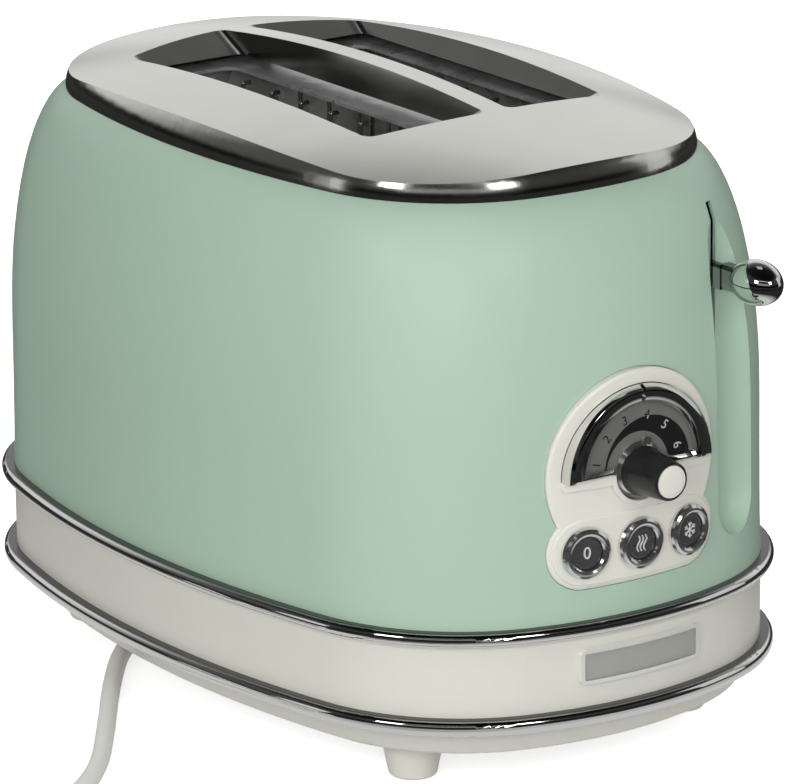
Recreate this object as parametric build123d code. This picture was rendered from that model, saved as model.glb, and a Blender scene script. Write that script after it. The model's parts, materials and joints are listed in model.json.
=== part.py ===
"""Two-slot pop-up toaster in a rounded retro style, with its toasting mechanism.

Millimetres, +Z up. The end with the lever and the controls faces +X, the long sides
face -Y and +Y, and the feet stand on Z = 0. The origin is the middle of the footprint,
knob included, so the body's own centre lies a little towards -X.
"""

import os
from math import acos, asin, atan2, cos, hypot, pi, radians, sin, sqrt, tan

from build123d import *

# ---------------------------------------------------------------- driving dimensions
BODY_X = -6.5  # body centre, measured from the origin

# Plan outlines: half length, half width, side radius, end radius, corner radius
BASE_PLAN = (150.0, 97.6, 405.0, 133.0, 68.4)
SHELL_PLAN = (150.3, 97.7, 405.0, 133.0, 68.4)
TOP_PLAN = (125.6, 79.7, 377.0, 145.0, 59.2)

# Axis that the end walls and the control panel are curved about
END_X = BASE_PLAN[0] - BASE_PLAN[3]

# Levels above the table
PAN_BOTTOM = 14.8
PAN_TOP = 24.6
BAND_BOTTOM = 30.0
BAND_TOP = 55.2
SHELL_BOTTOM = 60.0
SHOULDER_START = 113.6
SHELL_TOP = 197.3
CROWN = 216.0

# Shoulder of the shell: an ellipse, up to this share of its rise
SHOULDER_SHARE = 0.99
# How far the end walls lean in below the shoulder: height and inset
END_LEAN = [(60.0, 0.0), (70.0, 1.25), (88.0, 1.8), (113.6, 2.3)]

SHEET = 1.2
SHELL_WALL = 1.5
PLASTIC = 2.5
RING_BULGE = 4.5
RING_DEPTH = 2.5
RING_FILLET = 2.3
DOME_LENGTH_RADIUS = 726.0
DOME_WIDTH_RADIUS = 317.0
TOP_EDGE_INSET = 9.0
TOP_EDGE_RISE = 11.5

# Toast slots, a little off centre towards the end without the lever
SLOT_Y = 27.2
MOUTH_CENTRE = (-10.8, 27.8)
MOUTH_SIZE = (179.9, 47.2)
MOUTH_CORNER = 4.0
MOUTH_Z = 217.0
THROAT_CENTRE = (-8.1, 25.8)
THROAT_SIZE = (131.4, 41.5)
THROAT_CORNER = 4.0
THROAT_Z = 204.8

# Feet
FOOT_X = 99.7
FOOT_Y = 56.0
FOOT_TOP_R = 11.0
FOOT_BOTTOM_R = 8.0

# Chassis
END_PLATE_X = 78.0
CHASSIS_HALF_WIDTH = 60.0
CHASSIS_BOTTOM = 46.0
CHASSIS_TOP = 200.0
OUTER_BOARD_Y = 52.0
POST_X = 84.0
POST_Y = 56.0
POST_R = 4.0
SCREW_R = 1.6
SCREW_TOP = 48.5

# Bread lift
LIFT = 72.0
RACK_TOP = 132.0
RACK_HEIGHT = 8.0
RACK_SLOT = 3.2
CARRIAGE_X = 92.0
ROD_X = 103.0
ROD_R = 3.0
ROD_GAP = 0.05
GUIDE_STROKE = 6.0
GUIDE_WIRE_R = 0.8
GUIDE_INNER_Y = 12.0
GUIDE_OUTER_Y = 42.5
GUIDE_LOW_Z = 49.0
GUIDE_HIGH_Z = 192.0

# Lever and its scoop
KNOB_CENTRE = (150.2, 47.5, 163.2)
KNOB_R = 7.6
KNOB_HALF_LENGTH = 10.6
ARM_Z = (157.6, 166.2)
ARM_Y = (44.4, 46.4)
SLEEVE_START_X = 133.6
SLEEVE_Y = (44.8, 50.2)
SCOOP_X = 141.2
SCOOP_Y = 50.3
SCOOP_R = 12.75
SCOOP_LOW_Z = 86.0
SLIT_TOP = 186.0
ARM_GAP = 0.6

# Control panel: a round lobe over a stadium lobe, seated in a recess of the end wall
PANEL_FACE_R = 132.35
PANEL_SKIN = 1.9
PANEL_DEPTH = 3.4
PANEL_GAP = 0.25
PANEL_HOLE_INSET = 2.0
PANEL_R = 33.8
PANEL_Z = 108.1
LOBE_R = 12.9
LOBE_Y = 20.9
LOBE_RISE = 0.7
BUTTON_Z = 83.1
BUTTON_PITCH = 20.9
BUTTON_CAP_R = 5.4
BUTTON_TRAVEL = 2.2
BEZEL_BORE_R = 5.7
BEZEL_R = 9.0
BEZEL_TUBE = 0.75

# Dial and its knob
DIAL_Z = 108.0
DIAL_OUTER_R = 29.0
DIAL_INNER_R = 23.0
DIAL_SEAT_X = 145.2
DIAL_FRONT_X = 151.85
SCALE_X = 148.6
BAR_INNER_R = 11.4
SHELF_INNER_R = 10.2
SHELF_OUTER_R = 11.8
SKIRT_R = 9.6
POINTER_ANGLE = 15.0
POINTER_REACH = 11.1
KNOB_TIP_X = 167.5
SHAFT_R = 3.0
BOARD_X = 132.0

# Badge plate: middle along Y and Z, then its size
BADGE_CENTRE = (0.7, 44.1)
BADGE_LENGTH = 48.5
BADGE_HEIGHT = 12.0
BADGE_BORDER = 1.4

# Crumb tray
TRAY_HALF_WIDTH = 48.0
TRAY_BOTTOM = 35.0
TRAY_TOP = 44.0
TRAY_FRONT_LOW = 33.4
TRAY_FRONT_HIGH = 49.6

# Cord bay in the underside
CORD_BAY_X = (-130.5, -57.0)
CORD_BAY_Y = (-42.0, -6.0)

# Cord, in the finished frame
CORD_R = 3.2
FLOOR_Z = 3.3
CORD_POINTS = [
    (-109.0, -22.0, 21.0),
    (-98.0, -24.0, 19.0),
    (-86.0, -34.0, 12.0),
    (-74.0, -52.5, 5.6),
    (-61.0, -73.0, FLOOR_Z),
    (-29.4, -97.1, FLOOR_Z),
    (4.0, -120.0, FLOOR_Z),
    (38.0, -144.5, FLOOR_Z),
    (58.0, -170.0, FLOOR_Z),
    (62.0, -196.0, FLOOR_Z),
    (49.0, -218.0, FLOOR_Z),
    (22.6, -232.0, FLOOR_Z),
]
COIL_CENTRE = (0.0, -205.0)
COIL_R = 32.0
TAIL_POINTS = [
    (-10.0, -238.6, FLOOR_Z),
    (-22.0, -241.0, FLOOR_Z),
    (-35.0, -241.0, 3.6),
    (-47.0, -237.0, 7.5),
]
PLUG_HEADING = 161.0
PLUG_TILT = 15.6
PLUG_LENGTH = 50.0
PLUG_R = 18.5
PIN_R = 2.4
PIN_LENGTH = 19.0
PIN_PITCH = 19.0


# ---------------------------------------------------------------- helpers
def save(name, shape, x=BODY_X):
    """Write one sub-part, moved from body coordinates to the finished frame."""
    placed = Pos(x, 0, 0) * shape
    placed.label = name
    export_step(placed, f"parts/{name}.step")


def block(x, y, z):
    """Box given by its low and high limits along each axis."""
    size = [high - low for low, high in (x, y, z)]
    middle = [(high + low) / 2 for low, high in (x, y, z)]
    return Pos(*middle) * Box(*size)


def rod(radius, start, end):
    """Cylinder from one point to another."""
    start, end = Vector(*start), Vector(*end)
    plane = Plane(origin=start, z_dir=end - start)
    return extrude(plane * Circle(radius), (end - start).length)


def grown(plan, distance):
    """The plan outline moved outwards by a distance, all its arcs still tangent."""
    return tuple(value + distance for value in plan)


def plan_face(plan, z):
    """Closed outline of eight tangent arcs, as a face at height z."""
    half_length, half_width, side_r, end_r, corner_r = plan
    side_y = half_width - side_r
    end_x = half_length - end_r
    to_side, to_end = side_r - corner_r, end_r - corner_r
    span = hypot(end_x, side_y)
    along = (to_side**2 - to_end**2 + span**2) / (2 * span)
    across = sqrt(to_side**2 - along**2)
    corner_x = (along * end_x + across * -side_y) / span
    corner_y = side_y + (along * -side_y - across * end_x) / span
    end_turn = atan2(corner_y, corner_x - end_x)
    side_turn = atan2(corner_y - side_y, corner_x)
    middle_turn = (end_turn + side_turn) / 2
    p_end = (end_x + end_r * cos(end_turn), end_r * sin(end_turn))
    p_side = (side_r * cos(side_turn), side_y + side_r * sin(side_turn))
    p_corner = (corner_x + corner_r * cos(middle_turn), corner_y + corner_r * sin(middle_turn))

    def at(point, sx, sy):
        return (point[0] * sx, point[1] * sy)

    arcs = [ThreePointArc(at(p_end, 1, -1), (half_length, 0), p_end)]
    arcs += [ThreePointArc(p_end, p_corner, p_side)]
    arcs += [ThreePointArc(p_side, (0, half_width), at(p_side, -1, 1))]
    arcs += [ThreePointArc(at(p_side, -1, 1), at(p_corner, -1, 1), at(p_end, -1, 1))]
    arcs += [ThreePointArc(at(p_end, -1, 1), (-half_length, 0), at(p_end, -1, -1))]
    arcs += [ThreePointArc(at(p_end, -1, -1), at(p_corner, -1, -1), at(p_side, -1, -1))]
    arcs += [ThreePointArc(at(p_side, -1, -1), (0, -half_width), at(p_side, 1, -1))]
    arcs += [ThreePointArc(at(p_side, 1, -1), at(p_corner, 1, -1), at(p_end, 1, -1))]
    return Pos(0, 0, z) * make_face(Curve() + arcs)


def plan_solid(plan, low, high):
    """Upright prism of a plan outline."""
    return extrude(plan_face(plan, low), high - low)


def plan_ring(plan, outside, inside, low, high):
    """Upright wall that follows the plan outline, between two offsets from it."""
    return plan_solid(grown(plan, outside), low, high) - plan_solid(
        grown(plan, inside), low - 1, high + 1
    )


def end_sector(low_r, high_r):
    """Curved slab that follows the end wall of the body, over the panel's height."""
    slab = Cylinder(high_r, 120) - Cylinder(low_r, 130)
    keep = block((END_X + 60, END_X + 200), (-45, 45), (60, 180))
    return (Pos(END_X, 0, 110) * slab) & keep


def lobe_outline(inset):
    """Stadium round the three buttons, drawn in by an inset."""
    return Pos(0, BUTTON_Z) * SlotOverall(2 * (LOBE_Y + LOBE_R - inset), 2 * (LOBE_R - inset))


def panel_prism(inset):
    """Prism along X of the panel's outline, drawn in by an inset."""
    sketch = Pos(0, PANEL_Z) * Circle(PANEL_R - inset) + lobe_outline(inset)
    return extrude(facing_x(sketch, 100), 90)


def facing_x(sketch, x):
    """Place a sketch in a plane across X, its own x along +Y and its own y along +Z."""
    return Plane(origin=(x, 0, 0), x_dir=(0, 1, 0), z_dir=(1, 0, 0)) * sketch


# ---------------------------------------------------------------- base
def make_bottom_pan():
    outer = loft([plan_face(grown(BASE_PLAN, -7.5), PAN_BOTTOM), plan_face(grown(BASE_PLAN, -1.5), PAN_TOP)])
    outer = fillet(outer.faces().sort_by(Axis.Z)[0].edges(), 2.2)
    spigot = plan_ring(BASE_PLAN, -RING_DEPTH, -5, PAN_TOP - 2, BAND_BOTTOM + 4)
    hollow = plan_solid(grown(BASE_PLAN, -9.8), PAN_BOTTOM + 2.5, PAN_TOP + 5)
    pan = outer + spigot - hollow
    for sx in (-1, 1):
        for sy in (-1, 1):
            pan += Pos(FOOT_X * sx, FOOT_Y * sy, 20) * Cylinder(7, 9)
            at = Pos(POST_X * sx, POST_Y * sy)
            pan += at * rod(POST_R, (0, 0, PAN_BOTTOM + 1), (0, 0, CHASSIS_BOTTOM))
    for sy in (-1, 1):
        pan += block((-118, 60), (40 * sy - 1, 40 * sy + 1), (PAN_BOTTOM + 2, TRAY_BOTTOM - 0.1))
    # Cord bay: a roofed recess in the underside, open downwards
    outer_x = (CORD_BAY_X[0] - 2, CORD_BAY_X[1] + 2)
    outer_y = (CORD_BAY_Y[0] - 2, CORD_BAY_Y[1] + 2)
    pan += block(outer_x, outer_y, (PAN_BOTTOM + 1, 31.5))
    pan -= block(CORD_BAY_X, CORD_BAY_Y, (PAN_BOTTOM - 1, 29.5))
    for row in range(9):
        pan -= Pos(-8 + 13 * row, 0, PAN_BOTTOM) * Box(4, 56, 12)
    pan -= rod(CORD_R + 0.1, (-140, -22, 21), (-125, -22, 21))
    for sx in (-1, 1):
        for sy in (-1, 1):
            at = Pos(POST_X * sx, POST_Y * sy)
            pan -= at * rod(3.6, (0, 0, PAN_BOTTOM - 1), (0, 0, PAN_BOTTOM + 2.6))
            pan -= at * rod(SCREW_R + 0.02, (0, 0, PAN_BOTTOM), (0, 0, 50))
    return pan


def make_foot(sx, sy):
    cone = Cone(FOOT_BOTTOM_R, FOOT_TOP_R, PAN_BOTTOM)
    cone = fillet(cone.edges().sort_by(Axis.Z)[0], 1.6)
    return Pos(FOOT_X * sx, FOOT_Y * sy, PAN_BOTTOM / 2) * cone


def make_ring(low, high):
    """Polished bead that follows the base outline."""
    bead = plan_solid(grown(BASE_PLAN, RING_BULGE), low, high)
    rims = bead.faces().sort_by(Axis.Z)[0].edges() + bead.faces().sort_by(Axis.Z)[-1].edges()
    bead = fillet(rims, RING_FILLET)
    return bead - plan_solid(grown(BASE_PLAN, -RING_DEPTH), low - 1, high + 1)


def make_base_band():
    wall = plan_ring(BASE_PLAN, 0, -PLASTIC, BAND_BOTTOM, BAND_TOP)
    spigot = plan_ring(BASE_PLAN, -PLASTIC, -4.8, BAND_TOP - 4, SHELL_BOTTOM + 4)
    opening = block((-160, -130), (-50, 50), (TRAY_FRONT_LOW - 0.4, TRAY_FRONT_HIGH + 0.4))
    return wall + spigot - opening


def make_badge_plate():
    """Bare oblong plate with a raised border, bent to the end of the base band."""
    outline = RectangleRounded(BADGE_LENGTH, BADGE_HEIGHT, 2.2)
    hollow = RectangleRounded(BADGE_LENGTH - 2 * BADGE_BORDER, BADGE_HEIGHT - 2 * BADGE_BORDER, 1.2)
    border = outline - hollow
    plate = band_sector(0, 1.0) & extrude(facing_x(Pos(*BADGE_CENTRE) * outline, END_X), 160)
    return plate + (band_sector(0.5, 1.9) & extrude(facing_x(Pos(*BADGE_CENTRE) * border, END_X), 160))


def band_sector(low, high):
    """Curved slab on the +X end of the base band, between two offsets from it."""
    slab = plan_ring(BASE_PLAN, high, low, BAND_BOTTOM, BAND_TOP)
    return slab & block((120, 160), (-40, 40), (BAND_BOTTOM, BAND_TOP))


def make_crumb_tray():
    """Shallow sheet tray, its outer end curved to meet the back of its front."""
    high_x = 76.0
    side = TRAY_HALF_WIDTH
    tray = block((-150, high_x), (-side, side), (TRAY_BOTTOM, TRAY_TOP))
    tray = fillet(tray.edges().filter_by(Axis.Z).group_by(Axis.X)[-1], 6)
    tray &= plan_solid(grown(BASE_PLAN, -PLASTIC), TRAY_BOTTOM, TRAY_TOP)
    inside = block((-150, high_x - 1), (1 - side, side - 1), (TRAY_BOTTOM + 1, TRAY_TOP + 1))
    inside = fillet(inside.edges().filter_by(Axis.Z).group_by(Axis.X)[-1], 5)
    return tray - (inside & plan_solid(grown(BASE_PLAN, -PLASTIC - 1), TRAY_BOTTOM, TRAY_TOP + 2))


def make_tray_front():
    """Front of the crumb tray: a piece of the base band with a finger grip."""
    middle = (TRAY_FRONT_LOW + TRAY_FRONT_HIGH) / 2
    half = TRAY_HALF_WIDTH + 1.6
    front = plan_ring(BASE_PLAN, 0, -PLASTIC, TRAY_FRONT_LOW, TRAY_FRONT_HIGH)
    front &= block((-160, -130), (-half, half), (TRAY_FRONT_LOW, TRAY_FRONT_HIGH))
    grip = plan_ring(BASE_PLAN, 3.6, -1, middle - 2.2, middle + 2.2)
    grip &= block((-160, -130), (-20, 20), (middle - 2.2, middle + 2.2))
    grip = fillet(grip.edges().group_by(Axis.X)[0], 1.5)
    return front + grip


# ---------------------------------------------------------------- shell and top
def shoulder_section(turn, wall=0.0):
    """Plan outline and height at an angle along the shoulder's ellipse, inside by a wall."""
    rise = (SHELL_TOP - SHOULDER_START) / SHOULDER_SHARE
    share = (1 - cos(turn)) / (1 - cos(asin(SHOULDER_SHARE)))
    plan = [low + (high - low) * share for low, high in zip(SHELL_PLAN, TOP_PLAN)]
    plan[0] -= END_LEAN[-1][1] * (1 - share)
    inset = SHELL_PLAN[1] - TOP_PLAN[1]
    lean = atan2(inset * sin(turn), rise * cos(turn))
    return grown(plan, -wall * cos(lean)), SHOULDER_START + rise * sin(turn) - wall * sin(lean)


def shell_form(wall):
    """Solid form of the body, smaller all round by a wall."""
    sections = []
    for z, lean in END_LEAN[:-1]:
        low = z - 1 if wall and z == SHELL_BOTTOM else z
        plan = (SHELL_PLAN[0] - lean, *SHELL_PLAN[1:])
        sections.append(plan_face(grown(plan, -wall), low))
    for step in range(8):
        plan, z = shoulder_section(asin(SHOULDER_SHARE) * step / 7, wall)
        sections.append(plan_face(plan, z))
    return loft(sections)


def lever_scoop(extra=0.0):
    """Upright round-ended groove in the corner of the body that the lever runs in."""
    radius = SCOOP_R + extra
    height = 240 - SCOOP_LOW_Z
    groove = Pos(SCOOP_X, SCOOP_Y, SCOOP_LOW_Z + height / 2) * Cylinder(radius, height)
    return groove + Pos(SCOOP_X, SCOOP_Y, SCOOP_LOW_Z) * Sphere(radius)


def panel_recess(extra=0.0):
    """Seat of the control panel, pressed into the end wall, larger by extra."""
    floor_r = PANEL_FACE_R - PANEL_DEPTH - 0.05 - extra
    return end_sector(floor_r, PANEL_FACE_R + 20) & panel_prism(-PANEL_GAP - extra)


def make_body_shell():
    outer = shell_form(0) - lever_scoop() - panel_recess()
    inner = shell_form(SHELL_WALL) - lever_scoop(SHELL_WALL) - panel_recess(SHELL_WALL)
    shell = outer - inner
    shell -= plan_solid(grown(TOP_PLAN, -6), SHELL_TOP - 6, SHELL_TOP + 2)
    shell -= panel_prism(PANEL_HOLE_INSET)
    slit_y = (ARM_Y[0] - ARM_GAP, ARM_Y[1] + ARM_GAP)
    return shell - block((115, 145), slit_y, (ARM_Z[0] - LIFT - 2 * ARM_GAP, SLIT_TOP))


def dome(drop):
    """Domed cover over the top outline, curved along and across, with a rounded edge."""
    axis_z = CROWN - DOME_WIDTH_RADIUS
    half = 150.0
    sag = DOME_LENGTH_RADIUS - sqrt(DOME_LENGTH_RADIUS**2 - half**2)
    arc = ThreePointArc((-half, CROWN - drop - sag), (0, CROWN - drop), (half, CROWN - drop - sag))
    sides = Polyline(
        (half, CROWN - drop - sag), (half, CROWN - 60), (-half, CROWN - 60), (-half, CROWN - drop - sag)
    )
    spin_axis = Axis((0, 0, axis_z), (1, 0, 0))
    face = (Plane.XZ * make_face(Curve() + [arc, sides])).rotate(spin_axis, -20)
    barrel = revolve(face, spin_axis, 40)
    sections = []
    for height in (0, 3, 6, 8.4, 10.2, 11.2):
        inset = TOP_EDGE_INSET * (1 - sqrt(1 - (height / TOP_EDGE_RISE) ** 2))
        sections.append(plan_face(grown(TOP_PLAN, -drop - inset), SHELL_TOP - drop + height))
    edge = loft(sections)
    top = extrude(edge.faces().sort_by(Axis.Z)[-1], 12)
    return (edge + top) & barrel


def slot_funnel(side, wall):
    """Tapered throat of one toast slot, larger all round by a wall."""
    outlines = []
    for centre, size, corner, z in (
        (THROAT_CENTRE, THROAT_SIZE, THROAT_CORNER, THROAT_Z),
        (MOUTH_CENTRE, MOUTH_SIZE, MOUTH_CORNER, MOUTH_Z),
    ):
        outline = RectangleRounded(size[0] + 2 * wall, size[1] + 2 * wall, corner + wall)
        outlines.append(Pos(centre[0], centre[1] * side, z) * outline)
    return loft(outlines)


def make_top_plate():
    cover = dome(0)
    plate = cover - dome(SHEET)
    for side in (-1, 1):
        plate += slot_funnel(side, 1.0) & cover
    for side in (-1, 1):
        plate -= slot_funnel(side, 0)
    return plate


# ---------------------------------------------------------------- chassis
def make_end_plate(side):
    """Folded sheet end of the toasting chamber, with slots for racks and guides."""
    wide = CHASSIS_HALF_WIDTH
    plate = block((END_PLATE_X, END_PLATE_X + SHEET), (-wide, wide), (CHASSIS_BOTTOM, CHASSIS_TOP))
    plate += block((END_PLATE_X, CARRIAGE_X), (-wide, wide), (CHASSIS_BOTTOM, CHASSIS_BOTTOM + SHEET))
    plate += block((END_PLATE_X, 86), (-wide, wide), (CHASSIS_TOP - SHEET, CHASSIS_TOP))
    if side > 0:
        plate += block((90, 113), (-57, 12), (CHASSIS_BOTTOM, CHASSIS_BOTTOM + SHEET))
        plate += block((END_PLATE_X, 113), (-10, 30), (185, 185 + SHEET))
        for z in (CHASSIS_BOTTOM, 185):
            plate -= Pos(ROD_X, 0, z + SHEET / 2) * Cylinder(ROD_R + 0.02, 3)
    middle_x = END_PLATE_X + SHEET / 2
    rack_low, rack_high = RACK_TOP - RACK_HEIGHT - LIFT - 1.5, RACK_TOP + 1.5
    for sy in (-1, 1):
        slot_y = (SLOT_Y * sy - RACK_SLOT / 2, SLOT_Y * sy + RACK_SLOT / 2)
        plate -= block((END_PLATE_X - 1, END_PLATE_X + 2), slot_y, (rack_low, rack_high))
        for z in (GUIDE_LOW_Z, GUIDE_HIGH_Z):
            for rest_y, way in ((GUIDE_INNER_Y, 1), (GUIDE_OUTER_Y, -1)):
                slot = SlotCenterToCenter(GUIDE_STROKE, 2 * (GUIDE_WIRE_R + 0.05))
                middle_y = (rest_y + way * GUIDE_STROKE / 2) * sy
                plate -= extrude(facing_x(Pos(middle_y, z) * slot, middle_x - 2), 4)
        plate -= Pos(POST_X, POST_Y * sy, CHASSIS_BOTTOM) * Cylinder(SCREW_R + 0.1, 6)
    return plate if side > 0 else mirror(plate, Plane.YZ)


def make_side_panel(sy):
    """Reflector wall of the toasting chamber, ribbed along its length."""
    low, high = CHASSIS_HALF_WIDTH - 1.8, CHASSIS_HALF_WIDTH - 1.0
    wall = block((-END_PLATE_X, END_PLATE_X), (low, high), (CHASSIS_BOTTOM + 2, CHASSIS_TOP - 2))
    for z in (75, 100, 125, 150, 175):
        rib = Pos(0, low, z) * Rotation(0, 90, 0) * Cylinder(1.6, 2 * END_PLATE_X - 20)
        wall += rib & block((-80, 80), (low - 3, high), (40, 199))
    return wall if sy > 0 else mirror(wall, Plane.XZ)


def make_inner_frame():
    plate = block((-84, 84), (-CHASSIS_HALF_WIDTH, CHASSIS_HALF_WIDTH), (CHASSIS_TOP, CHASSIS_TOP + SHEET))
    for side in (-1, 1):
        mouth = RectangleRounded(THROAT_SIZE[0] - 2, 35, 5)
        plate -= extrude(Pos(THROAT_CENTRE[0], SLOT_Y * side, CHASSIS_TOP - 1) * mouth, 4)
    return plate


def make_heater_board(y):
    """Mica sheet with notched edges that the ribbon is wound over."""
    board = block((-END_PLATE_X, END_PLATE_X), (y - 0.5, y + 0.5), (52, 188))
    for sz in (52, 188):
        for step in range(-4, 5):
            board -= Pos(step * 16, y, sz) * Box(4, 3, 5)
    return board


def make_heater_ribbon(y, faces):
    """Flat resistance ribbon in level runs on the named faces of one board."""
    ribbon = []
    for face in faces:
        near, far = sorted((y + face * 0.5, y + face * 0.9))
        for run in range(12):
            z = 64 + 10 * run
            ribbon.append(block((-70, 70), (near, far), (z - 0.9, z + 0.9)))
    return Compound(children=ribbon)


def make_bread_guide(y, way):
    """Wire grid on one side of a slot, its top ends hooked away from the bread."""
    reach = END_PLATE_X + 3.5
    tip_z = GUIDE_HIGH_Z + 5
    guide = rod(GUIDE_WIRE_R, (-reach, y, GUIDE_LOW_Z), (reach, y, GUIDE_LOW_Z))
    guide += rod(GUIDE_WIRE_R, (-reach, y, GUIDE_HIGH_Z), (reach, y, GUIDE_HIGH_Z))
    for step in range(-4, 4):
        x = 18 * step + 9
        guide += rod(GUIDE_WIRE_R, (x, y, GUIDE_LOW_Z), (x, y, tip_z))
        guide += rod(GUIDE_WIRE_R, (x, y, tip_z), (x, y + 3 * way, tip_z))
        guide += Pos(x, y, tip_z) * Sphere(GUIDE_WIRE_R)
    return guide


# ---------------------------------------------------------------- bread lift
def make_bread_rack(sy):
    """Lifting bar of one slot, with shallow V wings that carry the slice."""
    low = RACK_TOP - RACK_HEIGHT
    rack = block((-END_PLATE_X - 5, CARRIAGE_X), (-0.6, 0.6), (low, RACK_TOP))
    vee = Polyline((-8, 2.2), (0, 0), (8, 2.2), (8, 3.2), (0, 1.0), (-8, 3.2), close=True)
    for step in range(-3, 4):
        wing = extrude(facing_x(make_face(vee), 18 * step - 4), 8)
        rack += Pos(0, 0, RACK_TOP - 1) * wing
    return Pos(0, SLOT_Y * sy, 0) * rack


def make_carriage():
    """Pressed plate that joins both racks to the lever and slides on the rod."""
    low = RACK_TOP - RACK_HEIGHT - 2
    thick = (CARRIAGE_X, CARRIAGE_X + 1.6)
    carriage = block(thick, (-46, 55), (low, low + 12))
    carriage += block(thick, (-46, -34), (low, 147))
    carriage += block(thick, (ARM_Y[0] - 1.4, 55), (low, ARM_Z[1]))
    carriage += block((thick[1], ROD_X - 4), (-4, 4), (low, low + 24))
    carriage += block(thick, (-8, 8), (low, low + 24))
    carriage += Pos(ROD_X, 0, low + 12) * Cylinder(6, 24)
    carriage += block((thick[1], 107), (16, 30), (low + 10.4, low + 12))
    return carriage - Pos(ROD_X, 0, low + 12) * Cylinder(ROD_R + ROD_GAP, 30)


def make_guide_rod():
    return rod(ROD_R, (ROD_X, 0, CHASSIS_BOTTOM - 2), (ROD_X, 0, 189))


def make_return_spring():
    """Open coil spring that pulls the carriage up, between its ear and the top tab."""
    low, high = 134.0, 185.0
    path = Helix(pitch=(high - low - 1) / 10, height=high - low - 1, radius=4)
    start = path @ 0
    wire = sweep(Plane(origin=start, z_dir=path % 0) * Circle(0.45), path)
    return Pos(ROD_X, 22, low + 0.5) * wire


def make_armature():
    """Steel plate on the carriage that the magnet holds down until the toast is done."""
    return block((CARRIAGE_X + 1.6, 113), (-55, -31), (145, 147))


def make_magnet_core():
    """E-shaped stack of steel laminations, open side up."""
    low = CHASSIS_BOTTOM + SHEET
    core = block((100, 109), (-56, -30), (low, low + 5))
    for y in ((-56, -52), (-46, -40), (-34, -30)):
        core += block((100, 109), y, (low, 72.6))
    return core


def make_magnet_coil():
    coil = block((97, 112), (-51.5, -34.5), (CHASSIS_BOTTOM + SHEET + 5, 69))
    coil = fillet(coil.edges().filter_by(Axis.Z), 2.5)
    return coil - block((99.9, 109.1), (-46.1, -39.9), (40, 80))


def make_lever_arm():
    """Flat arm through the slit, with a thicker sleeve outside that carries the knob."""
    knob_x = KNOB_CENTRE[0]
    sleeve = block((SLEEVE_START_X, knob_x - 5), SLEEVE_Y, ARM_Z)
    sleeve = fillet(sleeve.edges().filter_by(Axis.X), 1.2)
    arm = block((CARRIAGE_X + 1.6, SLEEVE_START_X + 1), ARM_Y, ARM_Z)
    return arm + sleeve - make_lever_knob()


def make_lever_knob():
    """Egg-shaped knob, its long axis along the arm."""
    section = Ellipse(KNOB_HALF_LENGTH, KNOB_R) & Pos(0, KNOB_R) * Rectangle(4 * KNOB_R, 2 * KNOB_R)
    return Pos(*KNOB_CENTRE) * revolve(Plane.XY * section, Axis.X)


# ---------------------------------------------------------------- controls
def button_frame(index):
    """Plane on the panel's face at a button, looking out along its own press axis."""
    face_r = PANEL_FACE_R + LOBE_RISE
    lean = asin(BUTTON_PITCH * index / face_r)
    out = Vector(cos(lean), sin(lean), 0)
    origin = Vector(END_X, 0, BUTTON_Z) + out * face_r
    return Plane(origin=origin, x_dir=(0, 0, 1), z_dir=out)


def above_dial_axis(sketch):
    """The part of a sketch about the dial's axis that lies above that axis."""
    return sketch & Pos(0, 50) * Rectangle(100, 100)


def dial_prism(sketch, start, length):
    """Extrude a sketch drawn about the dial's axis along X."""
    return extrude(facing_x(Pos(0, DIAL_Z) * sketch, start), length)


def rounded_front(plate, face_r, radius):
    """Round the edges of a plate where they lie on its curved front face."""
    front = []
    for edge in plate.edges():
        middle = edge.position_at(0.5)
        if abs(hypot(middle.X - END_X, middle.Y) - face_r) < 0.01:
            front.append(edge)
    return fillet(front, radius)


def make_control_panel():
    """Moulded panel that follows the end wall, with a half-round window for the dial."""
    face_r = PANEL_FACE_R
    panel = rounded_front(end_sector(face_r - PANEL_SKIN, face_r) & panel_prism(0), face_r, 1.2)
    lobe_r = face_r + LOBE_RISE
    lobe = end_sector(face_r - 1, lobe_r) & extrude(facing_x(lobe_outline(1.4), 100), 90)
    panel += rounded_front(lobe, lobe_r, 0.6)
    for index in (-1, 0, 1):
        panel -= extrude(button_frame(index) * Circle(BEZEL_BORE_R + BEZEL_TUBE + 0.05), 10, both=True)
    seat = Circle(DIAL_OUTER_R + 0.2)
    panel -= dial_prism(above_dial_axis(seat) + Circle(SHELF_INNER_R), 120, 50)
    # Raised shelf below the window, bulging round the knob
    shelf = Pos(0, -1.6) * Rectangle(2 * DIAL_OUTER_R - 2, 3.2)
    for side in (-1, 1):
        shelf += Pos((DIAL_OUTER_R - 1) * side, -1.6) * Circle(1.6)
    shelf += Circle(SHELF_OUTER_R) - above_dial_axis(Circle(SHELF_OUTER_R + 1))
    panel += dial_prism(shelf - Circle(SHELF_INNER_R), 140, 40) & end_sector(face_r - 1, face_r + 1.8)
    # Ledge and collar behind the window, rim on the body, wall through its opening, posts
    collar = Circle(DIAL_OUTER_R + 1.9)
    ledge = above_dial_axis(collar - Circle(DIAL_OUTER_R - 1.4))
    panel += dial_prism(ledge, DIAL_SEAT_X - 2.2, 2.2)
    panel += dial_prism(above_dial_axis(collar - seat), DIAL_SEAT_X - 1, 20) & end_sector(60, face_r - 0.5)
    panel += end_sector(face_r - PANEL_DEPTH, face_r - 0.5) & (panel_prism(0) - panel_prism(1.5))
    panel += end_sector(face_r - 8, face_r - 0.5) & (panel_prism(2.2) - panel_prism(3.7))
    for y, z in ((-23.5, 98), (23.5, 98), (-10.6, 77.4), (10.6, 77.4)):
        post = rod(2.5, (BOARD_X + 1.6, y, z), (149, y, z))
        panel += post & (end_sector(60, face_r - 1) + block((100, 140), (-40, 40), (60, 140)))
    return panel


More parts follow.
